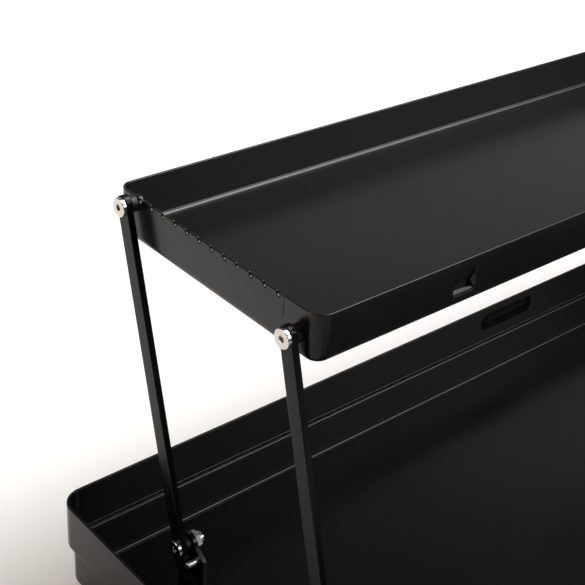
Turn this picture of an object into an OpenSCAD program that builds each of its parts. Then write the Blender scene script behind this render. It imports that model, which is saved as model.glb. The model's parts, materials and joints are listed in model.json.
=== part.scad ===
// Two-tier folding side table: a narrow shelf tray carried by four flat-bar legs
// over a larger deep tray. The legs are two parallelograms, one at each end. The
// shelf leans back past upright when it is open and folds forward into the deep tray.
// X runs along the table, Y to the back, Z up. The origin is under the middle of the
// deep tray, at the height the feet stand on. "left" is the -X end, "front" is -Y.

/* [Shelf tray] */
// Length of the shelf tray
shelf_l = 718; // [560:1:880]
// Width of the shelf tray, front to back
shelf_w = 162; // [130:1:200]
// Height of the shelf tray's walls
shelf_h = 27; // [22:0.5:40]
// Outer corner radius of the shelf tray in plan
shelf_corner_r = 8; // [7:0.5:14]

/* [Deep tray] */
// Room between the shelf's end and the deep tray's end wall
end_room = 42; // [30:1:60]
// Height of the ledge above the deep tray's floor
ledge_h = 30; // [24:1:45]
// Width of the ledge pressed into the deep tray's walls
ledge_w = 3.6; // [2:0.2:4]
// Outer corner radius of the deep tray in plan
deep_corner_r = 14; // [11:1:24]

/* [Sheet metal] */
// Thickness of the tray sheet
sheet = 1.6; // [1.2:0.1:2]
// Outer radius of the bend between wall and floor
bend_r = 4.5; // [3:0.5:6]

/* [Notches and pockets] */
// Number of notches along each end of the shelf tray
notch_count = 12; // [4:1:14]
// Radius of a notch's round bottom
notch_r = 1.7; // [1:0.1:2]
// Depth of a notch below the rim
notch_depth = 2.6; // [2:0.1:4]
// Distance from the front of the shelf tray to the first notch
notch_front_in = 28.3; // [24:0.1:36]
// Distance from the back of the shelf tray to the last notch
notch_back_in = 21.5; // [18:0.1:36]
// Width of a pressed pocket in the shelf tray's front wall
pocket_w = 16; // [10:1:30]
// Depth of the pocket's ledge behind the wall's outer face
pocket_depth = 3; // [2:0.2:4]
// Height of the pocket from its top edge to its ledge
pocket_h = 12.5; // [8:0.5:16]
// Distance of the pocket's ledge below the rim
pocket_drop = 17.5; // [14:0.5:19]
// Distance of a pocket's middle from the end of the shelf tray
pocket_in = 98; // [60:1:200]
// Length of the finger dish in each long wall of the deep tray
dish_l = 62; // [40:1:90]
// Height of the finger dish
dish_h = 16; // [12:1:20]
// How far the finger dish is pressed out of the wall
dish_depth = 3.5; // [2:0.5:6]
// Distance of the dish's middle below the deep tray's rim
dish_drop = 14; // [12:0.5:16]

/* [Legs] */
// Distance between a leg's two pivots
leg_l = 203; // [160:1:250]
// Width of the flat bar
leg_w = 9.2; // [8:0.2:9.4]
// Thickness of the flat bar
leg_t = 4; // [3:0.5:5]
// Angle by which the open legs lean back from upright
lean = 15.6; // [12:0.2:20]
// Length of a leg below its lower pivot, to the middle of its round end
heel_l = 11; // [9:0.5:13]
// Length of a leg past its upper pivot, to the middle of its round end
crown_l = 1.4; // [0:0.1:3]
// Distance of the rear pivot in front of the shelf tray's back
rear_pivot_in = 16.1; // [13:0.1:24]
// Distance of the front pivot behind the shelf tray's front
front_pivot_in = 13.2; // [11:0.1:18]
// Distance of the rear pivot below the shelf's rim
rear_pivot_drop = 4.4; // [4.2:0.1:6]
// Height of the rear pivot above the front pivot
pivot_step = 9.7; // [9.7:0.1:12]

/* [Fasteners] */
// Diameter of the pivot bolts
bolt_d = 6; // [5:0.5:6]
// Diameter of a pivot bolt's head
head_d = 10.5; // [9.5:0.1:12]
// Height of a pivot bolt's head
head_h = 2.1; // [1.8:0.1:4]
// Diameter of the round nuts inside the shelf tray's end walls
wall_nut_d = 8.4; // [8:0.1:8.4]
// Height of those round nuts
wall_nut_h = 2.2; // [1.5:0.1:3]
// Length of the spacer between a leg and its tray or bracket
spacer_t = 3.7; // [3:0.1:5]
// Diameter of the stop pins
pin_d = 4; // [3:0.5:4]
// Diameter of the small screws for brackets and feet
screw_d = 4; // [3:0.5:5]

/* [Brackets and feet] */
// Thickness of the hinge bracket's plate
bracket_t = 2.5; // [2:0.5:4]
// Width of the bracket's foot flange
flange_w = 20; // [16:1:24]
// Height of the bracket's web between its two ears
web_h = 18; // [14:1:24]
// Height of a foot
foot_h = 10; // [8:1:16]
// Diameter of a foot
foot_d = 24; // [20:1:30]
// Distance of a foot's middle from the deep tray's outer faces
foot_in = 27.2; // [26:0.1:40]

/* [Clearances] */
// Radial clearance of a leg's bore on its bolt
running_gap = 0.05; // [0.02:0.01:0.1]
// Radial clearance of a fixed hole around its fastener
hole_gap = 0.2; // [0.1:0.05:0.4]
// Gap at each flat face of a leg
side_gap = 0.1; // [0.05:0.05:0.3]
// Gap between a leg's edge and its stop pin
stop_gap = 0.3; // [0.2:0.05:0.5]
// Gap between the folded shelf and the deep tray's front wall
fold_gap = 7.4; // [5:0.2:10]
// Gap between the folded shelf's floor and the ledge
ledge_gap = 0.8; // [0.5:0.1:3]
// Depth of the folded shelf's rim below the deep tray's rim
rim_gap = 2.5; // [1:0.5:6]

/* [Hidden] */
$fn = 64;

LEFT = -1;
RIGHT = 1;
ARC_STEPS = 6;

// how far a cutting shape stands out of the body that it cuts
OVER = 1;

// the deep tray, worked out from the folded shelf that it has to take; its width is
// rounded so that its half is a whole number of these steps and its corners meet
half_step = 0.01;
floor_z = foot_h + sheet;
rear_pivot_h = ledge_h + ledge_gap + shelf_h - rear_pivot_drop;
front_pivot_h = rear_pivot_h - pivot_step;
deep_h = sheet + ledge_h + ledge_gap + shelf_h + rim_gap;
deep_l = shelf_l + 2 * (end_room + sheet);
deep_w = half_step * 2 * round((shelf_w + leg_l * (1 + sin(lean)) + fold_gap + sheet)
                               / (half_step * 2));

// the open shelf's back is flush with the deep tray's back
shelf_back_y = deep_w / 2;
shelf_front_y = shelf_back_y - shelf_w;
rear_top_y = shelf_back_y - rear_pivot_in;
front_top_y = shelf_front_y + front_pivot_in;
rear_low_y = rear_top_y - leg_l * sin(lean);
front_low_y = front_top_y - leg_l * sin(lean);
rear_low_z = floor_z + rear_pivot_h;
front_low_z = floor_z + front_pivot_h;
rear_top_z = rear_low_z + leg_l * cos(lean);
front_top_z = front_low_z + leg_l * cos(lean);
shelf_z = rear_top_z + rear_pivot_drop - shelf_h;

// the stack on each pivot, outwards from the end wall's outer face
leg_in = spacer_t + side_gap;
head_in = leg_in + leg_t + side_gap;
nut_af = 1.65 * bolt_d;
nut_h = 0.9 * bolt_d;
small_af = 1.75 * screw_d;
small_nut_h = 0.8 * screw_d;
tip = 1.5;
spacer_d = leg_w;
socket_af = 0.5 * bolt_d;
small_head_d = 1.9 * screw_d;
small_head_h = 0.55 * screw_d;
small_socket_af = 0.6 * screw_d;
head_round = 0.2;
socket_depth = 0.6;

// one pin stops a leg both open and folded, so its place follows from both
pin_off = leg_w / 2 + stop_gap + pin_d / 2;
pin_ahead = pin_off * (1 + sin(lean)) / cos(lean);
pin_out = leg_in + leg_t;

// a bracket's ear: its top stays below the deep tray's rim, its front edge keeps some
// metal ahead of the stop pin, and it widens towards the flange
ear_rim_gap = 0.3;
ear_r = min(6.6, rear_pivot_drop + rim_gap - ear_rim_gap);
ear_ahead = pin_ahead + pin_d / 2 + 3.5;
ear_shoulder = 5;
ear_front_spread = 2;
ear_back_spread = 3;
bracket_screw_in = 14;

foot_x = deep_l / 2 - foot_in;
foot_y = deep_w / 2 - foot_in;
foot_sink = 0.45 * foot_h;
foot_taper = 2;
foot_head_gap = 0.75;

// points along a round bend in a wall's outline
function arc(x, z, r, from, to) =
    [for (i = [0:ARC_STEPS]) let (a = from + (to - from) * i / ARC_STEPS)
        [x + r * cos(a), z + r * sin(a)]];

// outline of a wall: first number inwards from the wall's outer face, second upwards
function wall_outline(h, reach) = concat(
    [[reach, 0]], arc(bend_r, bend_r, bend_r, 270, 180),
    [[0, h], [sheet, h]],
    arc(bend_r, bend_r, bend_r - sheet, 180, 270), [[reach, sheet]]);

// the same with a ledge pressed into it
function ledge_outline(h, ledge_z, reach) = concat(
    [[reach, 0]], arc(ledge_w + bend_r, bend_r, bend_r, 270, 180),
    [[ledge_w, ledge_z - sheet], [0, ledge_z - sheet], [0, h], [sheet, h],
     [sheet, ledge_z], [ledge_w + sheet, ledge_z]],
    arc(ledge_w + bend_r, bend_r, bend_r - sheet, 180, 270), [[reach, sheet]]);

// a pressed tray: four walls, four round corners and a floor of one outline
module pressed_tray(l, w, corner_r, outline) {
    for (turn = [0, 180]) rotate([0, 0, turn])
        translate([0, -w / 2, 0]) wall_run(l - 2 * corner_r, outline);
    for (turn = [90, 270]) rotate([0, 0, turn])
        translate([0, -l / 2, 0]) wall_run(w - 2 * corner_r, outline);
    for (c = [[1, 1, 0], [-1, 1, 90], [-1, -1, 180], [1, -1, 270]])
        translate([c.x * (l / 2 - corner_r), c.y * (w / 2 - corner_r), 0])
            rotate([0, 0, c.z]) rotate_extrude(angle = 90)
                polygon([for (p = outline) [corner_r - p.x, p.y]]);
    translate([corner_r - l / 2, corner_r - w / 2, 0])
        cube([l - 2 * corner_r, w - 2 * corner_r, sheet]);
}

module wall_run(run, outline) {
    rotate([90, 0, 90]) linear_extrude(run, center = true) polygon(outline);
}

// everything on a pivot is drawn upwards from the end wall and turned outwards here
module at_pivot(side, y, z) {
    translate([side * shelf_l / 2, y, z]) rotate([0, side * 90, 0]) children();
}

module at_upper_pivots(side) {
    at_pivot(side, rear_top_y, rear_top_z) children();
    at_pivot(side, front_top_y, front_top_z) children();
}

module at_lower_pivots(side) {
    at_pivot(side, rear_low_y, rear_low_z) children();
    at_pivot(side, front_low_y, front_low_z) children();
}

module at_feet() {
    for (x = [-1, 1], y = [-1, 1]) translate([x * foot_x, y * foot_y, 0]) children();
}

// places of the screws that hold one bracket to the floor
module at_bracket_screws(side) {
    for (y = [front_low_y + bracket_screw_in, (front_low_y + rear_low_y) / 2,
              rear_low_y - bracket_screw_in])
        translate([side * (shelf_l / 2 - bracket_t - (flange_w - bracket_t) / 2), y, floor_z])
            children();
}

module ring(od, id, h) {
    difference() {
        cylinder(d = od, h = h);
        translate([0, 0, -OVER]) cylinder(d = id, h = h + 2 * OVER);
    }
}

module hex_nut(af, d, h) {
    difference() {
        cylinder(d = af / cos(30), h = h, $fn = 6);
        translate([0, 0, -OVER]) cylinder(d = d + 2 * running_gap, h = h + 2 * OVER);
    }
}

// a screw with a low round head, its head's underside at zero and its shank below
module cap_screw(d, shank_l, hd, hh, af) {
    edge_r = head_round * hh;
    difference() {
        union() {
            rotate_extrude() polygon(concat([[0, 0], [hd / 2, 0]],
                arc(hd / 2 - edge_r, hh - edge_r, edge_r, 0, 90), [[0, hh]]));
            translate([0, 0, -shank_l]) cylinder(d = d, h = shank_l + hh / 4);
        }
        translate([0, 0, (1 - socket_depth) * hh])
            cylinder(d = af / cos(30), h = hh, $fn = 6);
    }
}

module small_screw(shank_l) {
    cap_screw(screw_d, shank_l, small_head_d, small_head_h, small_socket_af);
}

module pivot_bolt(wall, past_wall) {
    color("silver") translate([0, 0, head_in])
        cap_screw(bolt_d, head_in + wall + past_wall, head_d, head_h, socket_af);
}

module spacer() {
    color("black") ring(spacer_d, bolt_d + 2 * hole_gap, spacer_t);
}

module lower_nut() {
    color("silver") translate([0, 0, -bracket_t - nut_h]) hex_nut(nut_af, bolt_d, nut_h);
}

module wall_nut() {
    color([0.11, 0.11, 0.11]) translate([0, 0, -sheet - wall_nut_h])
        ring(wall_nut_d, bolt_d + 2 * running_gap, wall_nut_h);
}

// a flat bar with round ends, drawn flat with its lower pivot at the origin
module leg_bar() {
    difference() {
        linear_extrude(leg_t) {
            translate([-leg_w / 2, -heel_l]) square([leg_w, heel_l + leg_l + crown_l]);
            translate([0, -heel_l]) circle(d = leg_w);
            translate([0, leg_l + crown_l]) circle(d = leg_w);
        }
        for (y = [0, leg_l]) translate([0, y, -OVER])
            cylinder(d = bolt_d + 2 * running_gap, h = leg_t + 2 * OVER);
    }
}

module leg(side, y, z) {
    inner_x = side * (shelf_l / 2 + leg_in + (side < 0 ? leg_t : 0));
    color([0.13, 0.13, 0.13]) translate([inner_x, y, z])
        rotate([-lean, 0, 0]) rotate([90, 0, 90]) leg_bar();
}

module bracket_ear(y, h) {
    translate([y, h]) circle(r = ear_r);
    polygon([[y - ear_ahead - ear_front_spread, 0], [y + ear_r + ear_back_spread, 0],
             [y + ear_r, h], [y - ear_r, h], [y - ear_ahead, h - ear_shoulder]]);
}

module bracket(side) {
    front_y = front_low_y - ear_ahead - ear_front_spread;
    back_y = rear_low_y + ear_r + ear_back_spread;
    color([0.12, 0.12, 0.12]) difference() {
        union() {
            translate([side * shelf_l / 2 - (side > 0 ? bracket_t : 0), 0, floor_z])
                rotate([90, 0, 90]) linear_extrude(bracket_t) {
                    bracket_ear(rear_low_y, rear_pivot_h);
                    bracket_ear(front_low_y, front_pivot_h);
                    translate([front_y, 0]) square([back_y - front_y, web_h]);
                }
            translate([side * shelf_l / 2 - (side > 0 ? flange_w : 0), front_y, floor_z])
                cube([flange_w, back_y - front_y, bracket_t]);
        }
        at_lower_pivots(side) translate([0, 0, -bracket_t - OVER])
            cylinder(d = bolt_d + 2 * hole_gap, h = bracket_t + 2 * OVER);
        at_stop_pins(side) translate([0, 0, -bracket_t - OVER])
            cylinder(d = pin_d, h = bracket_t + 2 * OVER);
        at_bracket_screws(side) translate([0, 0, -OVER])
            cylinder(d = screw_d + 2 * hole_gap, h = bracket_t + 2 * OVER);
    }
}

// ahead of each lower pivot and below it
module at_stop_pins(side) {
    at_pivot(side, rear_low_y - pin_ahead, rear_low_z - pin_off) children();
    at_pivot(side, front_low_y - pin_ahead, front_low_z - pin_off) children();
}

module stop_pins(side) {
    color("silver") at_stop_pins(side) translate([0, 0, -bracket_t])
        cylinder(d = pin_d, h = bracket_t + pin_out);
}

module bracket_screws(side) {
    color("silver") at_bracket_screws(side) translate([0, 0, bracket_t])
        small_screw(bracket_t + sheet + small_nut_h + tip);
}

module bracket_nuts(side) {
    color("silver") at_bracket_screws(side) translate([0, 0, -sheet - small_nut_h])
        hex_nut(small_af, screw_d, small_nut_h);
}

// the finger dish's form, lying against the inside of a long wall
module dish_form(l, h, depth) {
    rotate([-90, 0, 0]) linear_extrude(depth) {
        square([l - h, h], center = true);
        for (x = [-1, 1]) translate([x * (l - h) / 2, 0]) circle(d = h);
    }
}

module lower_tray() {
    dish_z = foot_h + deep_h - dish_drop;
    color([0.11, 0.11, 0.11]) difference() {
        union() {
            translate([0, 0, foot_h]) pressed_tray(deep_l, deep_w, deep_corner_r,
                ledge_outline(deep_h, sheet + ledge_h, deep_corner_r));
            for (turn = [0, 180]) rotate([0, 0, turn])
                translate([0, deep_w / 2 - sheet, dish_z])
                    dish_form(dish_l + 2 * sheet, dish_h + 2 * sheet, sheet + dish_depth);
        }
        for (turn = [0, 180]) rotate([0, 0, turn])
            translate([0, deep_w / 2 - sheet - OVER, dish_z])
                dish_form(dish_l, dish_h, dish_depth + OVER);
        for (side = [LEFT, RIGHT]) at_bracket_screws(side)
            translate([0, 0, -sheet - OVER])
                cylinder(d = screw_d + 2 * hole_gap, h = sheet + 2 * OVER);
        at_feet() translate([0, 0, foot_h - OVER])
            cylinder(d = screw_d + 2 * hole_gap, h = sheet + 2 * OVER);
    }
}

// one foot: a rubber puck with its screw's head sunk into it from below
module foot(x, y) {
    color([0.08, 0.08, 0.08]) translate([x * foot_x, y * foot_y, 0]) difference() {
        cylinder(d1 = foot_d - foot_taper, d2 = foot_d, h = foot_h);
        translate([0, 0, -OVER])
            cylinder(d = small_head_d + 2 * foot_head_gap, h = foot_sink + OVER);
        translate([0, 0, -OVER])
            cylinder(d = screw_d + 2 * hole_gap, h = foot_h + 2 * OVER);
    }
}

module foot_screws() {
    color("silver") at_feet() translate([0, 0, foot_sink]) mirror([0, 0, 1])
        small_screw(foot_h - foot_sink + sheet + small_nut_h + tip);
}

module foot_nuts() {
    color("silver") at_feet() translate([0, 0, floor_z])
        hex_nut(small_af, screw_d, small_nut_h);
}

// side view of the pocket: a ramp from the wall's face down to a level ledge
module pocket_form(w, depth, h, ledge_z) {
    rotate([90, 0, 90]) linear_extrude(w, center = true)
        polygon([[-OVER, ledge_z], [depth, ledge_z], [0, ledge_z + h], [-OVER, ledge_z + h]]);
}

module at_pockets() {
    for (x = [-1, 1]) translate([x * (shelf_l / 2 - pocket_in), -shelf_w / 2, 0]) children();
}

module notches() {
    pitch = (shelf_w - notch_front_in - notch_back_in) / (notch_count - 1);
    for (i = [0:notch_count - 1])
        translate([0, notch_front_in - shelf_w / 2 + i * pitch, shelf_h - notch_depth + notch_r]) {
            rotate([0, 90, 0])
                cylinder(r = notch_r, h = shelf_l + 2 * OVER, center = true);
            translate([-shelf_l / 2 - OVER, -notch_r, 0])
                cube([shelf_l + 2 * OVER, 2 * notch_r, notch_depth]);
        }
}

module upper_tray() {
    ledge_z = shelf_h - pocket_drop;
    color([0.11, 0.11, 0.11]) difference() {
        translate([0, (shelf_front_y + shelf_back_y) / 2, shelf_z]) difference() {
            union() {
                pressed_tray(shelf_l, shelf_w, shelf_corner_r,
                             wall_outline(shelf_h, shelf_corner_r));
                at_pockets() intersection() {
                    pocket_form(pocket_w + 2 * sheet, pocket_depth + sheet,
                                pocket_h + 2 * sheet, ledge_z - sheet);
                    translate([-pocket_w, 0, 0]) cube([2 * pocket_w, 2 * pocket_w, shelf_h]);
                }
            }
            at_pockets() pocket_form(pocket_w, pocket_depth, pocket_h, ledge_z);
            notches();
        }
        for (side = [LEFT, RIGHT]) at_upper_pivots(side) translate([0, 0, -sheet - OVER])
            cylinder(d = bolt_d + 2 * hole_gap, h = sheet + 2 * OVER);
    }
}

lower_tray();
bracket(LEFT);  // left_bracket
bracket(RIGHT);  // right_bracket
bracket_screws(LEFT);  // left_bracket_screws
bracket_screws(RIGHT);  // right_bracket_screws
bracket_nuts(LEFT);  // left_bracket_nuts
bracket_nuts(RIGHT);  // right_bracket_nuts
at_lower_pivots(LEFT) pivot_bolt(bracket_t, nut_h + tip);  // left_lower_bolts
at_lower_pivots(RIGHT) pivot_bolt(bracket_t, nut_h + tip);  // right_lower_bolts
at_lower_pivots(LEFT) spacer();  // left_lower_spacers
at_lower_pivots(RIGHT) spacer();  // right_lower_spacers
at_lower_pivots(LEFT) lower_nut();  // left_lower_nuts
at_lower_pivots(RIGHT) lower_nut();  // right_lower_nuts
stop_pins(LEFT);  // left_stop_pins
stop_pins(RIGHT);  // right_stop_pins
foot(-1, -1);  // front_left_foot
foot(1, -1);  // front_right_foot
foot(-1, 1);  // rear_left_foot
foot(1, 1);  // rear_right_foot
foot_screws();
foot_nuts();
leg(LEFT, rear_low_y, rear_low_z);  // rear_left_leg
leg(LEFT, front_low_y, front_low_z);  // front_left_leg
leg(RIGHT, rear_low_y, rear_low_z);  // rear_right_leg
leg(RIGHT, front_low_y, front_low_z);  // front_right_leg
upper_tray();
at_upper_pivots(LEFT) pivot_bolt(sheet, wall_nut_h);  // left_upper_bolts
at_upper_pivots(RIGHT) pivot_bolt(sheet, wall_nut_h);  // right_upper_bolts
at_upper_pivots(LEFT) spacer();  // left_upper_spacers
at_upper_pivots(RIGHT) spacer();  // right_upper_spacers
at_upper_pivots(LEFT) wall_nut();  // left_upper_nuts
at_upper_pivots(RIGHT) wall_nut();  // right_upper_nuts
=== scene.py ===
"""Finishes and finished pieces for a two-tier folding side table of pressed black sheet steel.

Lengths in the blocks of sizes are in millimetres, and everything made is in metres.
"""

import json
import math

import bmesh
import bpy
from mathutils import Matrix, Vector

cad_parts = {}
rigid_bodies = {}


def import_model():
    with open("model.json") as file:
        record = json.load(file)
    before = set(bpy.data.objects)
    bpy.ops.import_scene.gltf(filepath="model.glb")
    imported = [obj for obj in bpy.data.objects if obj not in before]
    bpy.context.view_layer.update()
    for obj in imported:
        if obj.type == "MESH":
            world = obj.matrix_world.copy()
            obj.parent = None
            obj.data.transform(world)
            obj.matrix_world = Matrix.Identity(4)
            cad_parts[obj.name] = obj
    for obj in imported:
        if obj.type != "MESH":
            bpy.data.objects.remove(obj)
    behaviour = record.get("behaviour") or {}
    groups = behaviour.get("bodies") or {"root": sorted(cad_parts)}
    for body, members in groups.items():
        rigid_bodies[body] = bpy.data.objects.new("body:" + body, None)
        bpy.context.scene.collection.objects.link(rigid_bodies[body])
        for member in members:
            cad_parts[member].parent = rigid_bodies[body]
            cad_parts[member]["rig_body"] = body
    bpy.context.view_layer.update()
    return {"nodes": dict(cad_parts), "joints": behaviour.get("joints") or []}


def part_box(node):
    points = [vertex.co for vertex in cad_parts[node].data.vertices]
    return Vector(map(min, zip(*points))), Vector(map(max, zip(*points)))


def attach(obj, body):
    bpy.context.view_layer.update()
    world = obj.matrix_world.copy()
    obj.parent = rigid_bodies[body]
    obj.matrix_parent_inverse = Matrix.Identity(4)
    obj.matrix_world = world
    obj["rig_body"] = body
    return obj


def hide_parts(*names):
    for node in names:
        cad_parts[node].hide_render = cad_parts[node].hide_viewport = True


MM = 0.001
WELD = 1e-6
LEFT, RIGHT = -1, 1
SIDES = {"left": LEFT, "right": RIGHT}

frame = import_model()

# ---- sizes, in millimetres ----

SHEET = 1.6
BEND_R = 4.5
RIM_R = 0.5
FLOOR_REACH = 1.8
BEND_STEPS = 7
CORNER_STEPS = 14
WALL_STEP = 24
SUPPORT = 0.9

SHELF_CORNER_R = 8
NOTCH_COUNT = 12
NOTCH_R = 1.7
NOTCH_DEPTH = 2.6
NOTCH_EDGE = 0.6
NOTCH_FRONT_IN = 28.3
NOTCH_BACK_IN = 21.5
NOTCH_BAND = 7.0
NOTCH_GUARD = 0.6
POCKET_W = 16
POCKET_H = 12.5
POCKET_DEPTH = 3
POCKET_DROP = 17.5
POCKET_IN = 98
POCKET_SIDE = 1.7
POCKET_LIP = 2.9
SEAM_IN = 24
SEAM_W = 0.7
SEAM_DEPTH = 0.22
SEAM_L = 13

DEEP_CORNER_R = 14
LEDGE_W = 3.6
LEDGE_H = 30
LEDGE_BEND_R = 2.3
LEDGE_INNER_R = 1.0
DISH_L = 62
DISH_H = 16
DISH_DEPTH = 3.5
DISH_DROP = 14
DISH_EDGE = 9
DISH_PRESS = 2.6
DISH_GRID = 0.75
DISH_ROWS = 13
DISH_END_L = 13

LEG_W = 9.2
LEG_T = 4
LEG_EDGE = 0.5
HEEL_L = 11
CROWN_L = 1.4

BOLT_D = 6
BORE_GAP = 0.05
HEAD_D = 10.5
HEAD_H = 2.1
HEAD_EDGE = 0.42
SOCKET_AF = 3.0
SOCKET_DEPTH = 2.4
WALL_NUT_D = 8.4
WALL_NUT_H = 2.2
WALL_NUT_EDGE = 0.5
LOCK_NUT_AF = 1.65 * BOLT_D
LOCK_NUT_H = 5.4
TIP = 1.5
THREAD_GAP = 0.1
SPACER_T = 3.7
SPACER_GAP = 0.4
SPACER_EDGE = 0.35
PIN_D = 4
PIN_EDGE = 0.6
SIDE_GAP = 0.1
BRACKET_T = 2.5
BRACKET_EDGE = 0.35

SMALL_D = 4
SMALL_HEAD_D = 1.9 * SMALL_D
SMALL_HEAD_H = 0.55 * SMALL_D
SMALL_HEAD_EDGE = 0.9
SMALL_SOCKET_AF = 0.6 * SMALL_D
SMALL_SOCKET_DEPTH = 1.2
SMALL_NUT_AF = 1.75 * SMALL_D
SMALL_NUT_H = 0.8 * SMALL_D

FOOT_H = 10
FOOT_D = 24
FOOT_SINK = 4.5
FOOT_RECESS_D = SMALL_HEAD_D + 1.5
FOOT_HOLE_GAP = 0.2
TREAD_EDGE = 0.9
# the foot's side: how far in from its full width, and how high
FOOT_SIDE = [(0.8, 2.6), (1.4, 3.2), (0.7, 3.8), (0.5, 5.6), (1.1, 6.2), (0.35, 6.8)]

# ---- turns, in radians, and sharp edges, in degrees ----

SCREW_TURN = 0.7
NUT_TURN = 0.4
SMALL_SCREW_TURN = 0.5
SMALL_NUT_TURN = 0.6
# the edge turn at which the paler edge, partly wear and partly painted highlight, is full
FULL_EDGE_TURN = 0.9
TRAY_SHARP = 50
PART_SHARP = 38
BEVEL_SHARP = 40

# ---- finishes: noise scales per metre, and shares ----

CLOUD_SCALE = 11
PEEL_SCALE = 850
GRAIN_SCALE = 4200
# the noise that breaks up the paler edges, which are partly wear and partly painted highlight
SCUFF_HIGHLIGHT_SCALE = 260
PEEL_SHARE = 0.75
CLOUD_ROUGH = 0.10
GRAIN_ROUGH = 0.05
WORN_SHINE = 0.06
SPECKLE_LIFT = 1.25
TONE_SCALE = 320
MARK_SCALE = 900
MARK_ROUGH = 0.05
MARK_DEPTH = 0.000006
PALE_LIFT = 1.12
MOULD_ROUGH = 0.12
MOULD_CLOUD = 20

# ---- places, taken from the frame ----

shelf_low, shelf_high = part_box("upper_tray")
deep_low, deep_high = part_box("lower_tray")
joint_at = {joint["name"]: Vector(joint["pos_m"]) for joint in frame["joints"]}
REAR_LOW = joint_at["shelf_fold"]
REAR_TOP = joint_at["shelf_level"]
FRONT_LOW = joint_at["front_left_fold"]
FRONT_TOP = FRONT_LOW + REAR_TOP - REAR_LOW
WALL_X = shelf_high.x

shelf_length = (shelf_high.x - shelf_low.x) / MM
shelf_width = (shelf_high.y - shelf_low.y) / MM
shelf_wall = (shelf_high.z - shelf_low.z) / MM
deep_length = (deep_high.x - deep_low.x) / MM
deep_width = (deep_high.y - deep_low.y) / MM - 2 * DISH_DEPTH
deep_wall = (deep_high.z - deep_low.z) / MM


# ---- node trees ----

class Wire:
    """A value in a node tree. Sums on it add Math nodes, and node() adds any other node."""

    def __init__(self, tree, socket=None):
        self.tree = tree
        self.socket = socket

    def node(self, kind, settings=None, values=None, output=0):
        node = self.tree.nodes.new(kind)
        for name, setting in (settings or {}).items():
            setattr(node, name, setting)
        for key, value in (values or {}).items():
            if isinstance(value, Wire):
                self.tree.links.new(value.socket, node.inputs[key])
            else:
                node.inputs[key].default_value = value
        return Wire(self.tree, node.outputs[output])

    def other(self, name):
        """Another output of the node that this value comes from."""
        return Wire(self.tree, self.socket.node.outputs[name])

    def math(self, operation, *values):
        inputs = dict(enumerate((self, *values)))
        return self.node("ShaderNodeMath", {"operation": operation}, inputs)

    def __add__(self, value):
        return self.math("ADD", value)

    def __mul__(self, value):
        return self.math("MULTIPLY", value)

    def __sub__(self, value):
        return self.math("SUBTRACT", value)

    def __truediv__(self, value):
        return self.math("DIVIDE", value)

    def __rsub__(self, value):
        return self.node("ShaderNodeMath", {"operation": "SUBTRACT"}, {0: value, 1: self})

    def between(self, low, high):
        """This value kept from low to high."""
        return self.math("MAXIMUM", low).math("MINIMUM", high)

    def stretch(self, low, gain):
        """What this value has over low, times gain, kept from 0 to 1."""
        return ((self - low) * gain).between(0, 1)

    def split(self):
        first = self.node("ShaderNodeSeparateXYZ", None, {0: self})
        return first, first.other("Y"), first.other("Z")

    def mix(self, low, high):
        """A colour from low to high, with this value as the share of high."""
        return self.node("ShaderNodeMix", {"data_type": "RGBA"},
                         {"Factor": self, "A": low, "B": high}, output="Result")


# ---- finishes ----

def new_finish(name):
    """A material with a Principled shader; returns it, its first wire and the shader."""
    material = bpy.data.materials.new(name)
    material.use_nodes = True
    tree = material.node_tree
    tree.nodes.clear()
    shader = tree.nodes.new("ShaderNodeBsdfPrincipled")
    output = tree.nodes.new("ShaderNodeOutputMaterial")
    tree.links.new(shader.outputs[0], output.inputs["Surface"])
    wire = Wire(tree)
    place = wire.node("ShaderNodeTexCoord", output="Object")
    return material, place, shader


def join(value, shader, name):
    shader.id_data.links.new(value.socket, shader.inputs[name])


def grey(value, warm=0.0):
    return (value * (1 + warm), value, value * (1 - warm), 1)


def noise(place, scale, detail=3, roughness=0.5):
    return place.node("ShaderNodeTexNoise", None,
                      {"Vector": place, "Scale": scale, "Detail": detail, "Roughness": roughness})


def bump(height, depth, strength=1.0):
    """A bump whose full height is depth in metres."""
    return height.node("ShaderNodeBump", None,
                       {"Height": height, "Distance": depth, "Strength": strength})


def powder_coat(name, dark, light, warm, rough, worn_and_highlight, peel, shine):
    """Satin powder coat: slow clouding, fine orange peel and thinner, paler scuffed edges; the
    paler edges are partly wear and partly a painted highlight along rims and bends.
    """
    material, place, shader = new_finish(name)
    shader.inputs["Specular IOR Level"].default_value = shine
    cloud = noise(place, CLOUD_SCALE, detail=2)
    peel_bumps = noise(place, PEEL_SCALE, detail=2, roughness=0.4)
    grain = noise(place, GRAIN_SCALE, detail=1)
    edge = place.node("ShaderNodeAttribute", {"attribute_name": "edge_wear_and_highlight"}, output="Fac")
    scuffs_and_highlight = noise(place, SCUFF_HIGHLIGHT_SCALE, detail=4, roughness=0.62)
    # paler scuffed edges: partly wear, partly a painted highlight along rims and bends
    rubbed_and_highlight = scuffs_and_highlight.stretch(low=0.44, gain=5) * edge.between(0, 1)
    coat = cloud.stretch(low=0.35, gain=3).mix(grey(dark, warm), grey(light, warm))
    speckle = grain.stretch(low=0.2, gain=0.5)
    coat = speckle.mix(coat, grey(light * SPECKLE_LIFT, warm))
    base = rough - (CLOUD_ROUGH + GRAIN_ROUGH) / 2
    uneven = cloud * CLOUD_ROUGH + grain * GRAIN_ROUGH + base
    # base colour: the coat, lifted to a pale tone on the edges as wear and painted highlight
    join(rubbed_and_highlight.mix(coat, grey(worn_and_highlight, warm)), shader, "Base Color")
    join(uneven - rubbed_and_highlight * WORN_SHINE, shader, "Roughness")
    join(bump(peel_bumps * PEEL_SHARE + grain * (1 - PEEL_SHARE), peel), shader, "Normal")
    return material


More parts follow.
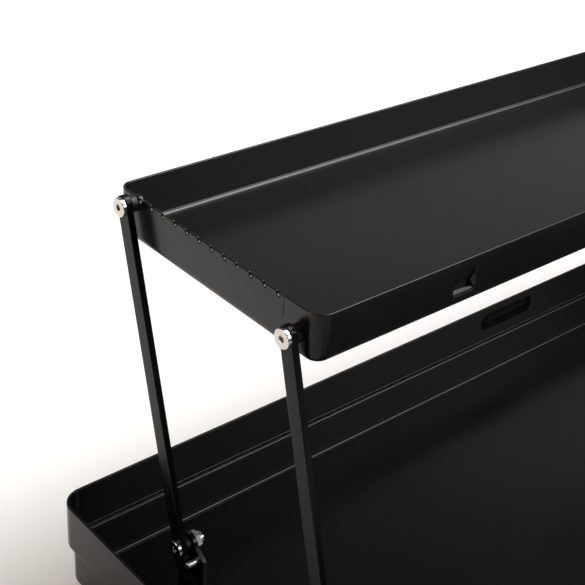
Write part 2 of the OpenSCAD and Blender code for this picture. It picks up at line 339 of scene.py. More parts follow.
def plated(name, colour, rough, spread, streaks):
    """Plated steel: bright metal with a slow tone change and fine turning marks."""
    material, place, shader = new_finish(name)
    shader.inputs["Metallic"].default_value = 1
    tone = noise(place, TONE_SCALE)
    stretched = place.node("ShaderNodeMapping", None,
                           {"Vector": place, "Scale": (streaks, 1, 1)})
    marks = noise(stretched, MARK_SCALE, detail=4, roughness=0.6)
    pale = tuple(min(1, share * PALE_LIFT) for share in colour[:3]) + (1,)
    join(tone.stretch(low=0.3, gain=2.4).mix(colour, pale), shader, "Base Color")
    join((tone - 0.5) * spread + marks * MARK_ROUGH + rough, shader, "Roughness")
    join(bump(marks, MARK_DEPTH, strength=0.5), shader, "Normal")
    return material


def moulded(name, dark, light, rough, scale, depth):
    """Moulded nylon or rubber: matt, with a fine grain."""
    material, place, shader = new_finish(name)
    cloud = noise(place, scale / MOULD_CLOUD)
    grain = noise(place, scale)
    join(cloud.mix(grey(dark), grey(light)), shader, "Base Color")
    join(grain * MOULD_ROUGH + (rough - MOULD_ROUGH / 2), shader, "Roughness")
    join(bump(grain, depth), shader, "Normal")
    return material


FINISHES = {
    # worn: the pale edge tone, partly wear and partly a painted highlight on rims and bends
    "black_tray_coat": powder_coat("black_tray_coat", dark=0.0018, light=0.0024, warm=0.01,
                                   rough=0.25, worn_and_highlight=0.014, peel=4e-6, shine=0.35),
    "black_leg_coat": powder_coat("black_leg_coat", dark=0.0020, light=0.0026, warm=0.07,
                                  rough=0.28, worn_and_highlight=0.004, peel=3e-6, shine=0.18),
    "nickel_steel": plated("nickel_steel", (0.60, 0.575, 0.545, 1), rough=0.14, spread=0.08,
                           streaks=0.1),
    "zinc_steel": plated("zinc_steel", (0.56, 0.58, 0.59, 1), rough=0.33, spread=0.16,
                         streaks=0.3),
    "black_nylon": moulded("black_nylon", dark=0.004, light=0.006, rough=0.50, scale=1800,
                           depth=8e-6),
    "black_rubber": moulded("black_rubber", dark=0.012, light=0.019, rough=0.72, scale=1300,
                            depth=2e-5),
}


# ---- making pieces ----

def as_object(name, mesh):
    made = bpy.data.objects.new(name, mesh)
    bpy.context.scene.collection.objects.link(made)
    return made


def mark_edges(mesh):
    """Writes the edge mask: how sharply the surface turns outwards at each point, 0 to 1. It sets
    where the coat is paler, partly as wear and partly as a painted highlight.
    """
    form = bmesh.new()
    form.from_mesh(mesh)
    edge_shares = []
    for point in form.verts:
        turn = 0
        for edge in point.link_edges:
            if edge.is_manifold and edge.is_convex:
                turn += edge.calc_face_angle(0)
        edge_shares.append(min(1, turn / FULL_EDGE_TURN))
    form.free()
    layer = mesh.attributes.new("edge_wear_and_highlight", "FLOAT", "POINT")
    layer.data.foreach_set("value", edge_shares)


def bake(made, finish, angle=PART_SHARP):
    """Turns an object's modifiers into a plain mesh with smooth faces and its finish."""
    bpy.context.view_layer.update()
    graph = bpy.context.evaluated_depsgraph_get()
    mesh = bpy.data.meshes.new_from_object(made.evaluated_get(graph), depsgraph=graph)
    made.modifiers.clear()
    made.data = mesh
    mesh.materials.clear()
    mesh.materials.append(FINISHES[finish])
    mesh.shade_smooth()
    mesh.set_sharp_from_angle(angle=math.radians(angle))
    if "edge_wear_and_highlight" not in mesh.attributes:
        mark_edges(mesh)
    weigh = made.modifiers.new("even_shading", "WEIGHTED_NORMAL")
    weigh.keep_sharp = True
    weigh.weight = 100
    bpy.context.view_layer.update()
    graph = bpy.context.evaluated_depsgraph_get()
    made.data = bpy.data.meshes.new_from_object(made.evaluated_get(graph), depsgraph=graph)
    made.modifiers.clear()
    return made


def stand_for(made, finish, *nodes):
    """The piece rides the body of the CAD nodes that it stands for."""
    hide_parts(*nodes)
    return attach(made, frame["nodes"][nodes[0]]["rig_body"])


# ---- geometry trees ----

def new_tree(name, inputs):
    """A geometry tree with named inputs; returns it and a wire for each input."""
    tree = bpy.data.node_groups.new(name, "GeometryNodeTree")
    tree.interface.new_socket("Geometry", in_out="INPUT", socket_type="NodeSocketGeometry")
    for label, kind in inputs.items():
        tree.interface.new_socket(label, in_out="INPUT", socket_type="NodeSocket" + kind)
    tree.interface.new_socket("Geometry", in_out="OUTPUT", socket_type="NodeSocketGeometry")
    entry = tree.nodes.new("NodeGroupInput")
    return tree, {label: Wire(tree, entry.outputs[label]) for label in ("Geometry", *inputs)}


def end_tree(shape, finish):
    real = shape.node("GeometryNodeRealizeInstances", None, {"Geometry": shape})
    done = real.node("GeometryNodeSetMaterial", None, {"Geometry": real, "Material": finish})
    exit_node = shape.tree.nodes.new("NodeGroupOutput")
    shape.tree.links.new(done.socket, exit_node.inputs["Geometry"])


def add_tree(made, tree, values):
    """Puts a tree on an object and sets its named inputs."""
    modifier = made.modifiers.new(tree.name, "NODES")
    modifier.node_group = tree
    for item in tree.interface.items_tree:
        if item.in_out == "INPUT" and item.name in values:
            modifier[item.identifier] = values[item.name]
    return made


def notch_tree():
    """Dips a tray's end rims into a row of round-bottomed notches."""
    tree, given = new_tree("rim_notches", {
        "Count": "Int", "Pitch": "Float", "First": "Float", "Radius": "Float",
        "Depth": "Float", "Edge": "Float", "Rim": "Float", "Band": "Float",
        "Wall": "Float", "Finish": "Material"})
    radius, depth, edge = given["Radius"], given["Depth"], given["Edge"]
    x, y, z = given["Count"].node("GeometryNodeInputPosition").split()
    row = ((y - given["First"]) / given["Pitch"]).math("ROUND").between(0, given["Count"] - 1)
    off = (y - given["First"] - row * given["Pitch"]).math("ABSOLUTE")
    in_notch = off.math("LESS_THAN", radius)
    bottom = depth - radius + (radius * radius - off * off).math("MAXIMUM", 0).math("SQRT")
    turn = (radius + edge - off).between(0, edge)
    lip = edge - (edge * edge - turn * turn).math("MAXIMUM", 0).math("SQRT")
    dip = in_notch * bottom + (1 - in_notch) * lip
    share = ((z - given["Rim"]) / given["Band"] + 1).between(0, 1)
    drop = dip * share * -1
    shift = drop.node("ShaderNodeCombineXYZ", None, {"Z": drop})
    on_end = x.math("ABSOLUTE").math("GREATER_THAN", given["Wall"])
    shape = shift.node("GeometryNodeSetPosition", None,
                       {"Geometry": given["Geometry"], "Selection": on_end, "Offset": shift})
    end_tree(shape, given["Finish"])
    return tree


def fixing_tree():
    """Sets one copy of a part on each point, facing along the point's outward direction."""
    tree, given = new_tree("fixings_on_places", {
        "Part": "Object", "Turn": "Float", "Finish": "Material"})
    part = given["Part"].node("GeometryNodeObjectInfo", None, {"Object": given["Part"]},
                              output="Geometry")
    outward = part.node("GeometryNodeInputNamedAttribute", {"data_type": "FLOAT_VECTOR"},
                        {"Name": "outward"})
    index = part.node("GeometryNodeInputIndex")
    spin = index * given["Turn"]
    about = spin.node("ShaderNodeCombineXYZ", None, {"Z": spin})
    facing = part.node("FunctionNodeAlignRotationToVector", {"axis": "Z"},
                       {"Vector": outward})
    turned_part = part.node("FunctionNodeRotateRotation", {"rotation_space": "LOCAL"},
                            {"Rotation": facing, "Rotate By": about})
    copies = part.node("GeometryNodeInstanceOnPoints", None,
                       {"Points": given["Geometry"], "Instance": part, "Rotation": turned_part})
    end_tree(copies, given["Finish"])
    return tree


NOTCHES = notch_tree()
FIXINGS = fixing_tree()


def fixings(name, part, places, outward, finish, turn, *nodes):
    """One piece of equal parts, on places that all face outward."""
    points = bpy.data.meshes.new(name)
    points.from_pydata([tuple(place) for place in places], [], [])
    layer = points.attributes.new("outward", "FLOAT_VECTOR", "POINT")
    layer.data.foreach_set("vector", [value for place in places for value in outward])
    source = as_object(name + "_pattern", part)
    made = add_tree(as_object(name, points), FIXINGS,
                    {"Part": source, "Turn": turn, "Finish": FINISHES[finish]})
    bake(made, finish)
    bpy.data.objects.remove(source)
    return stand_for(made, finish, *nodes)


# ---- outlines ----

def rounded(corners, steps=BEND_STEPS):
    """A path through corners (x, y, radius), each one turned on an arc of its radius."""
    path = []
    for before, (x, y, radius), after in zip([None, *corners], corners, [*corners[1:], None]):
        if not radius or before is None or after is None:
            path.append((x, y))
            continue
        here = Vector((x, y))
        back = (Vector(before[:2]) - here).normalized()
        ahead = (Vector(after[:2]) - here).normalized()
        half = back.angle(ahead) / 2
        centre = here + (back + ahead).normalized() * radius / math.sin(half)
        start = here + back * radius / math.tan(half) - centre
        end = here + ahead * radius / math.tan(half) - centre
        sweep = start.angle_signed(end)
        count = max(2, round(steps * abs(sweep) / (math.pi / 2)))
        for step in range(count + 1):
            point = Matrix.Rotation(-sweep * step / count, 2) @ start + centre
            path.append(tuple(point))
    return path


def with_rings(path, heights):
    """The path with extra points: near the ends of long straights, and at heights."""
    at_end = 0.002
    full = [path[0]]
    for (x0, y0), (x1, y1) in zip(path, path[1:]):
        length = math.hypot(x1 - x0, y1 - y0)
        shares = []
        if length > 3 * SUPPORT:
            shares += [SUPPORT / length, 1 - SUPPORT / length]
        if abs(y1 - y0) > 0.99 * length:
            shares += [(height - y0) / (y1 - y0) for height in heights]
        for share in sorted(shares):
            if at_end < share < 1 - at_end:
                full.append((x0 + (x1 - x0) * share, y0 + (y1 - y0) * share))
        full.append((x1, y1))
    return full


def stops_along(run, wanted, step):
    """Places from -run/2 to run/2: the wanted ones, and others no further apart than step."""
    clear, same = 0.01, 1e-4
    stops = sorted([-run / 2, run / 2] + [w for w in wanted if abs(w) < run / 2 - clear])
    full = [stops[0]]
    for here in stops[1:]:
        gap = here - full[-1]
        if gap < same:
            continue
        count = math.ceil(gap / step)
        start = full[-1]
        full += [start + gap * (i + 1) / count for i in range(count)]
    return full


def plan_stations(length, width, radius, long_stops, end_stops):
    """Stations round a rounded rectangle: (x, y, inward x, inward y, wall, place on it)."""
    stations = []
    walls = (("front", 0, length, width, long_stops), ("right", 1, width, length, end_stops),
             ("back", 2, length, width, long_stops), ("left", 3, width, length, end_stops))
    for name, turns, run, across, stops in walls:
        cos, sin = ((1, 0), (0, 1), (-1, 0), (0, -1))[turns]
        flip = 1 if turns < 2 else -1
        straight = run / 2 - radius
        for place in stops_along(2 * straight, [s * flip for s in stops], WALL_STEP):
            x, y = place, -across / 2
            stations.append((x * cos - y * sin, x * sin + y * cos, -sin, cos, name, place * flip))
        for step in range(1, CORNER_STEPS):
            angle = math.pi / 2 * step / CORNER_STEPS
            x = straight + radius * math.sin(angle)
            y = radius - across / 2 - radius * math.cos(angle)
            inward = (-math.sin(angle), math.cos(angle))
            stations.append((x * cos - y * sin, x * sin + y * cos,
                             inward[0] * cos - inward[1] * sin,
                             inward[0] * sin + inward[1] * cos, "corner", 0))
    return stations


def pressed_shell(name, stations, outline, press, centre, base):
    """A tray's closed shell: its outline carried round its stations, pressed by press()."""
    points = []
    for x, y, inward_x, inward_y, wall, place in stations:
        for index, (reach, height) in enumerate(outline):
            depth = reach + press(wall, place, height, index > len(outline) / 2)
            points.append(((x + inward_x * depth) * MM + centre[0],
                           (y + inward_y * depth) * MM + centre[1], height * MM + base))
    rings, count = len(outline), len(stations)
    faces = []
    for j in range(count):
        here, ahead = j * rings, (j + 1) % count * rings
        faces += [(here + i, ahead + i, ahead + i + 1, here + i + 1) for i in range(rings - 1)]
    faces.append([j * rings for j in reversed(range(count))])
    faces.append([j * rings + rings - 1 for j in range(count)])
    mesh = bpy.data.meshes.new(name)
    mesh.from_pydata(points, [], faces)
    mesh.validate()
    return as_object(name, mesh)


def ease(value):
    value = min(1, max(0, value))
    return value * value * (3 - 2 * value)


# ---- the shelf tray ----

def notch_places():
    """Column places for the notches, measured along an end wall from its middle."""
    pitch = (shelf_width - NOTCH_FRONT_IN - NOTCH_BACK_IN) / (NOTCH_COUNT - 1)
    first = NOTCH_FRONT_IN - shelf_width / 2
    offsets = [NOTCH_R * math.sin(math.radians(a)) for a in range(0, 91, 15)]
    just_out = 0.01
    offsets += [NOTCH_R + just_out, NOTCH_R + NOTCH_EDGE + NOTCH_GUARD]
    offsets += [NOTCH_R + NOTCH_EDGE * share for share in (0.25, 0.6, 1)]
    row = [first + i * pitch for i in range(NOTCH_COUNT)]
    return first, pitch, [y + s * off for y in row for off in offsets for s in (-1, 1)]


def shelf_press(wall, place, height, inner):
    """How far the shelf tray's wall is pressed inwards at a place and height."""
    if wall == "front":
        ledge = shelf_wall - POCKET_DROP - (SHEET if inner else 0)
        half = POCKET_W / 2 + (SHEET if inner else 0)
        across = half - abs(abs(place) - (shelf_length / 2 - POCKET_IN))
        share = ease(across / POCKET_SIDE)
        up = (height - ledge) / POCKET_H
        if 0 <= up < 1:
            return POCKET_DEPTH * (1 - up) * share
        round_up = 1 + (height - ledge) / POCKET_LIP
        if not inner and 0 < round_up < 1:
            return POCKET_LIP * (1 - math.sqrt(1 - round_up ** 2)) * share
    if wall in ("left", "right") and not inner and height > shelf_wall - SEAM_L:
        off = abs(place - (SEAM_IN - shelf_width / 2)) / (SEAM_W / 2)
        fade = ease((height - shelf_wall + SEAM_L) / 2)
        return SEAM_DEPTH * (1 - ease(off)) * fade
    return 0


def shelf_tray():
    outline = rounded([(BEND_R + FLOOR_REACH, 0, 0), (0, 0, BEND_R), (0, shelf_wall, RIM_R),
                       (SHEET, shelf_wall, RIM_R), (SHEET, SHEET, BEND_R - SHEET),
                       (BEND_R + FLOOR_REACH, SHEET, 0)])
    ledge = shelf_wall - POCKET_DROP
    just_below, just_above, rows = 0.02, 0.35, 6
    rings = [ledge + off + step * POCKET_H / rows for off in (0, -SHEET)
             for step in range(rows + 1)]
    rings += [ledge + off + by for off in (0, -SHEET) for by in (-just_below, just_above)]
    rings += [ledge - POCKET_LIP * share for share in (0.03, 0.09, 0.18, 0.3, 0.45, 0.65, 1)]
    rings += [shelf_wall - SEAM_L + step for step in (0, 1, 2)]
    rings += [shelf_wall - NOTCH_BAND, shelf_wall - 2, shelf_wall - 4]
    outline = with_rings(outline, rings)
    first, pitch, places = notch_places()
    seam = SEAM_IN - shelf_width / 2
    places += [seam + SEAM_W * share for share in (-0.5, -0.25, 0, 0.25, 0.5)]
    half = POCKET_W / 2
    sides = [-half - grow + POCKET_SIDE * share for grow in (0, SHEET)
             for share in (0, 0.2, 0.4, 0.6, 0.8, 1)]
    middle = shelf_length / 2 - POCKET_IN
    pockets = [end * middle + s * side for end in (-1, 1) for side in sides for s in (-1, 1)]
    stations = plan_stations(shelf_length, shelf_width, SHELF_CORNER_R, pockets, places)
    centre = (shelf_low + shelf_high) / 2
    made = pressed_shell("shelf_tray", stations, outline, shelf_press, centre, shelf_low.z)
    add_tree(made, NOTCHES, {
        "Count": NOTCH_COUNT, "Pitch": pitch * MM, "First": centre.y + first * MM,
        "Radius": NOTCH_R * MM, "Depth": NOTCH_DEPTH * MM, "Edge": NOTCH_EDGE * MM,
        "Rim": shelf_high.z, "Band": NOTCH_BAND * MM,
        "Wall": shelf_high.x - 1.5 * SHEET * MM, "Finish": FINISHES["black_tray_coat"]})
    bake(made, "black_tray_coat", TRAY_SHARP)
    stand_for(made, "black_tray_coat", "upper_tray")


# ---- the deep tray ----

def deep_press(wall, place, height, inner):
    """The finger dishes: an obround pressed outwards in the middle of each long wall."""
    if wall not in ("front", "back"):
        return 0
    across = max(0, abs(place) - (DISH_L - DISH_H) / 2)
    off = math.hypot(across, height - (deep_wall - DISH_DROP)) - DISH_H / 2
    if not inner:
        off -= SHEET
    return -DISH_PRESS * ease(-off / DISH_EDGE)


def deep_tray():
    ledge = SHEET + LEDGE_H
    reach = LEDGE_W + BEND_R + FLOOR_REACH
    outline = rounded([(reach, 0, 0), (LEDGE_W, 0, BEND_R),
                       (LEDGE_W, ledge - SHEET, LEDGE_INNER_R), (0, ledge - SHEET, LEDGE_BEND_R),
                       (0, deep_wall, RIM_R), (SHEET, deep_wall, RIM_R),
                       (SHEET, ledge, LEDGE_INNER_R), (LEDGE_W + SHEET, ledge, LEDGE_BEND_R),
                       (LEDGE_W + SHEET, SHEET, BEND_R - SHEET), (reach, SHEET, 0)])
    dish = deep_wall - DISH_DROP
    rows = [dish + i * DISH_GRID for i in range(-DISH_ROWS, DISH_ROWS + 1)]
    outline = with_rings(outline, rows)
    edge = DISH_L / 2 + SHEET
    columns = [s * (edge - i * DISH_GRID) for i in range(round(DISH_END_L / DISH_GRID))
               for s in (-1, 1)]
    stations = plan_stations(deep_length, deep_width, DEEP_CORNER_R, columns, [])
    centre = (deep_low + deep_high) / 2
    made = pressed_shell("deep_tray", stations, outline, deep_press, centre, deep_low.z)
    bake(made, "black_tray_coat", TRAY_SHARP)
    stand_for(made, "black_tray_coat", "lower_tray")


# ---- legs ----

def ring_points(x, y, radius, steps, start=0.0, sweep=2 * math.pi):
    closed = sweep >= 2 * math.pi
    count = steps if closed else steps + 1
    return [(x + radius * math.cos(start + sweep * i / steps),
             y + radius * math.sin(start + sweep * i / steps)) for i in range(count)]


def flat_plate(name, loops, thickness, edge, placing):
    """A plate of the outline loops, with rounded edges, centred on its own plane."""
    curve = bpy.data.curves.new(name, "CURVE")
    curve.dimensions = "2D"
    curve.fill_mode = "BOTH"
    curve.extrude = (thickness / 2 - edge) * MM
    curve.bevel_depth = edge * MM
    curve.bevel_resolution = 2
    curve.offset = -edge * MM
    for loop in loops:
        spline = curve.splines.new("POLY")
        spline.points.add(len(loop) - 1)
        spline.points.foreach_set("co", [v * MM for x, y in loop for v in (x, y, 0, 1 / MM)])
        spline.use_cyclic_u = True
    plate = as_object(name, curve)
    bpy.context.view_layer.update()
    graph = bpy.context.evaluated_depsgraph_get()
    mesh = bpy.data.meshes.new_from_object(plate.evaluated_get(graph), depsgraph=graph)
    bpy.data.objects.remove(plate)
    mesh.transform(placing)
    form = bmesh.new()
    form.from_mesh(mesh)
    bmesh.ops.remove_doubles(form, verts=form.verts, dist=WELD)
    bmesh.ops.recalc_face_normals(form, faces=form.faces)
    form.to_mesh(mesh)
    form.free()
    return as_object(name, mesh)


def leg(name, low, top, side):
    """A flat bar with round ends and a bore at each pivot."""
    length = (top - low).length / MM
    half = LEG_W / 2
    end_steps, bore_steps = 20, 32
    loop = (ring_points(0, length + CROWN_L, half, end_steps, 0, math.pi)
            + ring_points(0, -HEEL_L, half, end_steps, math.pi, math.pi))
    bores = [ring_points(0, y, BOLT_D / 2 + BORE_GAP, bore_steps) for y in (0, length)]
    lean = math.atan2(top.y - low.y, top.z - low.z)
    middle = Vector((side * abs(low.x), low.y, low.z))
    # the plate's own x becomes the table's y and its own y the table's z
    standing = Matrix(((0, 0, 1), (1, 0, 0), (0, 1, 0))).to_4x4()
    placing = Matrix.Translation(middle) @ Matrix.Rotation(-lean, 4, "X") @ standing
    made = flat_plate(name + "_bar", [loop, *bores], LEG_T, LEG_EDGE, placing)
    bake(made, "black_leg_coat")
    stand_for(made, "black_leg_coat", name)


# ---- turned and pressed small parts ----

def across_flats(width, angle):
    """Distance from the middle to the side of a hexagon, at an angle."""
    sixth = math.pi / 3
    return width / 2 / math.cos((angle + sixth / 2) % sixth - sixth / 2)


def turned(name, rings, steps=48, closed=False):
    """A form round its own z axis. A ring is (radius, height) or (across flats, height, 6)."""
    form = bmesh.new()
    loops = []
    for ring in rings:
        if ring[0] == 0:
            loops.append([form.verts.new((0, 0, ring[1] * MM))])
            continue
        loop = []
        for step in range(steps):
            angle = 2 * math.pi * step / steps
            radius = across_flats(ring[0], angle) if len(ring) > 2 else ring[0]
            place = (radius * math.cos(angle), radius * math.sin(angle), ring[1])
            loop.append(form.verts.new([value * MM for value in place]))
        loops.append(loop)
    if closed:
        loops.append(loops[0])
    for below, above in zip(loops, loops[1:]):
        for i in range(steps):
            j = (i + 1) % steps
            corners = [below[i % len(below)], below[j % len(below)],
                       above[j % len(above)], above[i % len(above)]]
            unique = list(dict.fromkeys(corners))
            if len(unique) > 2:
                form.faces.new(unique)
    bmesh.ops.recalc_face_normals(form, faces=form.faces)
    mesh = bpy.data.meshes.new(name)
    form.to_mesh(mesh)
    form.free()
    return mesh


def head_screw(name, shank_d, shank_l, head_d, head_h, edge, socket, socket_depth):
    """A screw with a low cylindrical head and a hexagon socket, its head's underside at 0."""
    end_r, under_r, under_w, drill_point = 0.5, 0.2, 0.3, 0.6
    floor = head_h - socket_depth
    corners = [(0, -shank_l, 0), (shank_d / 2, -shank_l, end_r), (shank_d / 2, 0, 0)]
    head = [(head_d / 2 - under_w, 0, 0), (head_d / 2, 0, under_r),
            (head_d / 2, head_h, edge), (socket / 1.6, head_h, 0)]
    rings = rounded(corners, steps=2) + rounded(head, steps=6)
    # the socket's mouth: how much wider across its flats, and how far down
    rings += [(socket + wider, head_h - down, 6)
              for wider, down in ((0.5, 0), (0.1, 0.2), (0, 0.45))]
    rings += [(socket, floor, 6), (0, floor - drill_point)]
    return turned(name, rings, steps=72)


def lock_nut(name, flats, bore, height):
    """A hexagon nut with chamfered corners and a nylon-filled collar, its face at 0."""
    corner = flats / 2 / math.cos(math.pi / 6)
    hexagon = height * 0.68
    chamfer = (corner - flats / 2) * 0.55 / 2
    collar, collar_edge, lead_in, step = flats * 0.44, 0.7, 0.3, 0.1
    rings = [(flats / 2 - step, 0), (flats, chamfer, 6), (flats, hexagon - chamfer, 6),
             (flats / 2 - step, hexagon)]
    rings += rounded([(collar, hexagon + step, 0), (collar, height, collar_edge),
                      (bore / 2 + step, height, 0)], steps=4)
    rings += [(bore / 2, height - lead_in), (bore / 2, lead_in), (bore / 2 + lead_in, 0)]
    return turned(name, rings, closed=True)


def washer(name, outer, bore, height, edge):
    """A plain ring with rounded edges, its face at 0."""
    loop = [(bore / 2, height / 2, 0), (bore / 2, height, edge), (outer / 2, height, edge),
            (outer / 2, 0, edge), (bore / 2, 0, edge), (bore / 2, height / 2 - 0.01, 0)]
    return turned(name, rounded(loop, steps=4), closed=True)


def pivot_fixings(level, body_wall, nut, nut_finish, past_wall, rear, front):
    """Screws, spacers and nuts of the upper or the lower pivots."""
    head_at = SPACER_T + LEG_T + 2 * SIDE_GAP
    for side, sign in SIDES.items():
        outward = Vector((sign, 0, 0))
        walls = [Vector((sign * WALL_X, place.y, place.z)) for place in (rear, front)]
        heads = [place + outward * head_at * MM for place in walls]
        backs = [place - outward * body_wall * MM for place in walls]
        start = f"{side}_{level}"
        screw = head_screw("pivot_screw", BOLT_D, head_at + body_wall + past_wall, HEAD_D,
                           HEAD_H, HEAD_EDGE, SOCKET_AF, SOCKET_DEPTH)
        fixings(start + "_screws", screw, heads, outward, "nickel_steel", SCREW_TURN,
                start + "_bolts")
        spacer = washer("pivot_spacer", LEG_W, BOLT_D + SPACER_GAP, SPACER_T, SPACER_EDGE)
        fixings(start + "_collars", spacer, walls, outward, "black_nylon", 0,
                start + "_spacers")
        fixings(start + "_screw_nuts", nut, backs, -outward, nut_finish, NUT_TURN,
                start + "_nuts")


def stop_pins():
    """Two pins on each bracket that stop the rear and the front leg."""
    reach = SPACER_T + SIDE_GAP + LEG_T
    for side, sign in SIDES.items():
        low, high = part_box(side + "_stop_pins")
        radius = PIN_D / 2 * MM
        rear = Vector((sign * WALL_X, high.y - radius, high.z - radius))
        front = Vector((sign * WALL_X, low.y + radius, low.z + radius))
        outline = [(0, -BRACKET_T, 0), (PIN_D / 2, -BRACKET_T, PIN_EDGE / 3),
                   (PIN_D / 2, reach, PIN_EDGE), (0, reach, 0)]
        pin = turned("stop_pin", rounded(outline, steps=3), steps=32)
        fixings(side + "_stops", pin, [rear, front], Vector((sign, 0, 0)), "zinc_steel", 0,
                side + "_stop_pins")


def group_middles(node):
    """The middles of the separate solids of a CAD node, in order."""
    form = bmesh.new()
    form.from_mesh(frame["nodes"][node].data)
    bmesh.ops.remove_doubles(form, verts=form.verts, dist=WELD)
    form.verts.ensure_lookup_table()
    left = set(form.verts)
    middles = []
    while left:
        front = [left.pop()]
        solid = []
        while front:
            point = front.pop()
            solid.append(point.co.copy())
            near = {edge.other_vert(point) for edge in point.link_edges} & left
            left -= near
            front += near
        low = Vector(map(min, zip(*solid)))
        high = Vector(map(max, zip(*solid)))
        middles.append((low + high) / 2)
    form.free()
    return sorted(middles, key=lambda place: (round(place.y, 4), round(place.x, 4)))


def small_fixings():
    """The small screws and nuts that hold the brackets and the feet."""
    up, down = Vector((0, 0, 1)), Vector((0, 0, -1))
    nut = lock_nut("small_nut", SMALL_NUT_AF, SMALL_D + THREAD_GAP, SMALL_NUT_H)
    sets = {"left_bracket": (BRACKET_T + SHEET, up), "right_bracket": (BRACKET_T + SHEET, up),
            "foot": (FOOT_H - FOOT_SINK + SHEET, down)}
    for start, (grip, outward) in sets.items():
        low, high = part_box(start + "_screws")
        top = high if outward.z > 0 else low
        under_head = top.z - outward.z * SMALL_HEAD_H * MM
        places = [Vector((p.x, p.y, under_head)) for p in group_middles(start + "_screws")]
        screw = head_screw("small_screw", SMALL_D, grip + SMALL_NUT_H + TIP, SMALL_HEAD_D,
                           SMALL_HEAD_H, SMALL_HEAD_EDGE, SMALL_SOCKET_AF, SMALL_SOCKET_DEPTH)
        fixings(start + "_pan_screws", screw, places, outward, "zinc_steel", SMALL_SCREW_TURN,
                start + "_screws")
        faces = [place - outward * grip * MM for place in places]
        fixings(start + "_small_nuts", nut, faces, -outward, "zinc_steel", SMALL_NUT_TURN,
                start + "_nuts")


def feet():
    """Four rubber feet: pucks with a rounded tread, two grooves and a hole for the screw."""
    names = ["front_left_foot", "front_right_foot", "rear_left_foot", "rear_right_foot"]
    places = []
    for name in names:
        low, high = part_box(name)
        places.append(Vector(((low.x + high.x) / 2, (low.y + high.y) / 2, low.z)))
    radius, hole, recess = FOOT_D / 2, SMALL_D / 2 + FOOT_HOLE_GAP, FOOT_RECESS_D / 2
    side = [(radius - inset, height, 0.2) for inset, height in FOOT_SIDE]
    loop = [(recess, FOOT_SINK / 2, 0), (recess, 0, 0.5), (radius - 1, 0, TREAD_EDGE), *side,
            (radius, FOOT_H, 0.4), (hole, FOOT_H, 0.2), (hole, FOOT_SINK, 0.1),
            (recess, FOOT_SINK, 0.3), (recess, FOOT_SINK / 2 + 0.01, 0)]
    puck = turned("rubber_foot", rounded(loop, steps=4), steps=56, closed=True)
    fixings("rubber_feet", puck, places, Vector((0, 0, 1)), "black_rubber", 0, *names)


# ---- brackets ----

def bracket(side):
    """The bracket's own form with its cut edges rounded."""
    mesh = frame["nodes"][side + "_bracket"].data.copy()
    mesh.materials.clear()
    form = bmesh.new()
    form.from_mesh(mesh)
    bmesh.ops.remove_doubles(form, verts=form.verts, dist=2 * WELD)
    bmesh.ops.dissolve_limit(form, angle_limit=math.radians(1), verts=form.verts,
                             edges=form.edges)
    form.to_mesh(mesh)
    form.free()
    made = as_object(side + "_hinge_bracket", mesh)
    edges = made.modifiers.new("edges", "BEVEL")
    edges.width = BRACKET_EDGE * MM
    edges.segments = 3
    edges.limit_method = "ANGLE"
    edges.angle_limit = math.radians(BEVEL_SHARP)
    bake(made, "black_tray_coat")
    stand_for(made, "black_tray_coat", side + "_bracket")


# ---- stage, light and camera ----

def plain_finish(name, value, rough):
    """A matt pale finish with a very slow cloud in it."""
    material, place, shader = new_finish(name)
    cloud = noise(place, 3, detail=2)
    join(cloud.mix(grey(value * 0.98), grey(value)), shader, "Base Color")
    shader.inputs["Roughness"].default_value = rough
    shader.inputs["Specular IOR Level"].default_value = 0.2
    return material


def put_stage():
    """A pale floor."""
    size = 9
    mesh = bpy.data.meshes.new("floor")
    mesh.from_pydata([(-size, -size, 0), (size, -size, 0), (size, size, 0), (-size, size, 0)],
                     [], [(0, 1, 2, 3)])
    mesh.materials.append(plain_finish("pale_floor", value=0.9, rough=0.6))
    as_object("floor", mesh)


def soft_light(name, place, aim, size, power, spread=180, colour=(1, 1, 1)):
    """A rectangle of light at a place, facing aim."""
    lamp = bpy.data.lights.new(name, "AREA")
    lamp.shape = "RECTANGLE"
    lamp.size, lamp.size_y = size
    lamp.energy = power
    lamp.spread = math.radians(spread)
    lamp.color = colour
    made = bpy.data.objects.new(name, lamp)
    facing = (Vector(aim) - Vector(place)).to_track_quat("-Z", "Y")
    made.matrix_world = Matrix.Translation(place) @ facing.to_matrix().to_4x4()
    bpy.context.scene.collection.objects.link(made)


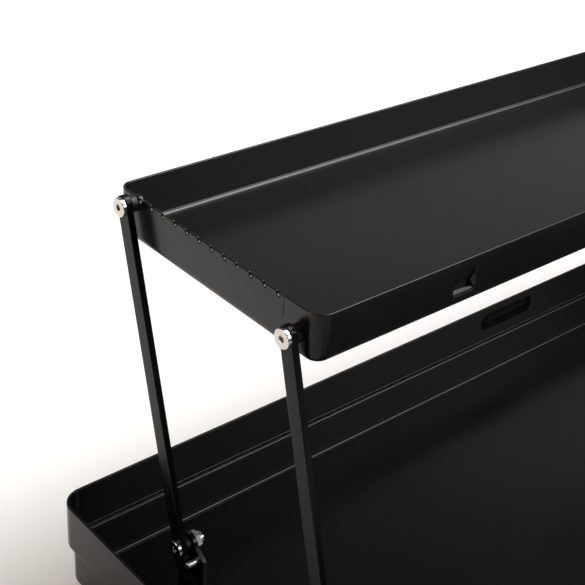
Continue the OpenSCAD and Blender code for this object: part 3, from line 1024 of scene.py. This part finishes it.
def put_lights():
    """A dim even surround and four soft lights."""
    world = bpy.data.worlds.new("studio")
    bpy.context.scene.world = world
    world.use_nodes = True
    background = world.node_tree.nodes["Background"]
    background.inputs["Color"].default_value = (1, 0.985, 0.97, 1)
    background.inputs["Strength"].default_value = 0.10
    shelf_middle = (0, 0.1, 0.2)
    soft_light("overhead", place=(0.9, 0.1, 1.9), aim=(0.05, 1.1, 0), size=(1.4, 1.2),
               power=22, spread=94)
    soft_light("left", place=(-1.9, 0.75, 1.4), aim=(-0.7, 0.6, 0), size=(1.0, 1.0),
               power=6, spread=84, colour=(1, 0.87, 0.76))
    soft_light("back", place=(1.58, 1.82, 1.34), aim=shelf_middle, size=(3.4, 1.1), power=3.8)
    soft_light("front", place=(1.0, -1.15, 1.1), aim=shelf_middle, size=(1.3, 0.8),
               power=1.9, spread=60)
    bpy.context.scene.view_settings.view_transform = "Standard"


def put_camera():
    """A camera in front of the shelf's left end, above it and turned a little on its axis."""
    heading, pitch, roll = (math.radians(angle) for angle in (42.52, 30.87, 4.32))
    left, before, above = 0.3235, 0.3339, 0.2906
    ahead = Vector((math.sin(heading) * math.cos(pitch), math.cos(heading) * math.cos(pitch),
                    -math.sin(pitch)))
    right = Vector((math.cos(heading), -math.sin(heading), 0))
    up = right.cross(ahead)
    level_right = right * math.cos(roll) + up * math.sin(roll)
    level_up = up * math.cos(roll) - right * math.sin(roll)
    data = bpy.data.cameras.new("camera")
    data.lens = 75.74
    data.sensor_width = 36
    data.clip_start = 0.01
    camera = bpy.data.objects.new("camera", data)
    turn = Matrix((level_right, level_up, -ahead)).transposed().to_4x4()
    place = Vector((shelf_low.x - left, shelf_low.y - before, shelf_high.z + above))
    camera.matrix_world = Matrix.Translation(place) @ turn
    bpy.context.scene.collection.objects.link(camera)
    bpy.context.scene.camera = camera


put_camera()
put_stage()
put_lights()
shelf_tray()
deep_tray()
for name, low, top in (("rear", REAR_LOW, REAR_TOP), ("front", FRONT_LOW, FRONT_TOP)):
    for side, sign in SIDES.items():
        leg(f"{name}_{side}_leg", low, top, sign)
for side in SIDES:
    bracket(side)
thread_bore = BOLT_D + THREAD_GAP
wall_nut = washer("wall_nut", WALL_NUT_D, thread_bore, WALL_NUT_H, WALL_NUT_EDGE)
pivot_fixings("upper", SHEET, wall_nut, "black_tray_coat", WALL_NUT_H, REAR_TOP, FRONT_TOP)
pivot_nut = lock_nut("pivot_nut", LOCK_NUT_AF, thread_bore, LOCK_NUT_H)
pivot_fixings("lower", BRACKET_T, pivot_nut, "zinc_steel", LOCK_NUT_H + TIP,
              REAR_LOW, FRONT_LOW)
stop_pins()
small_fixings()
feet()
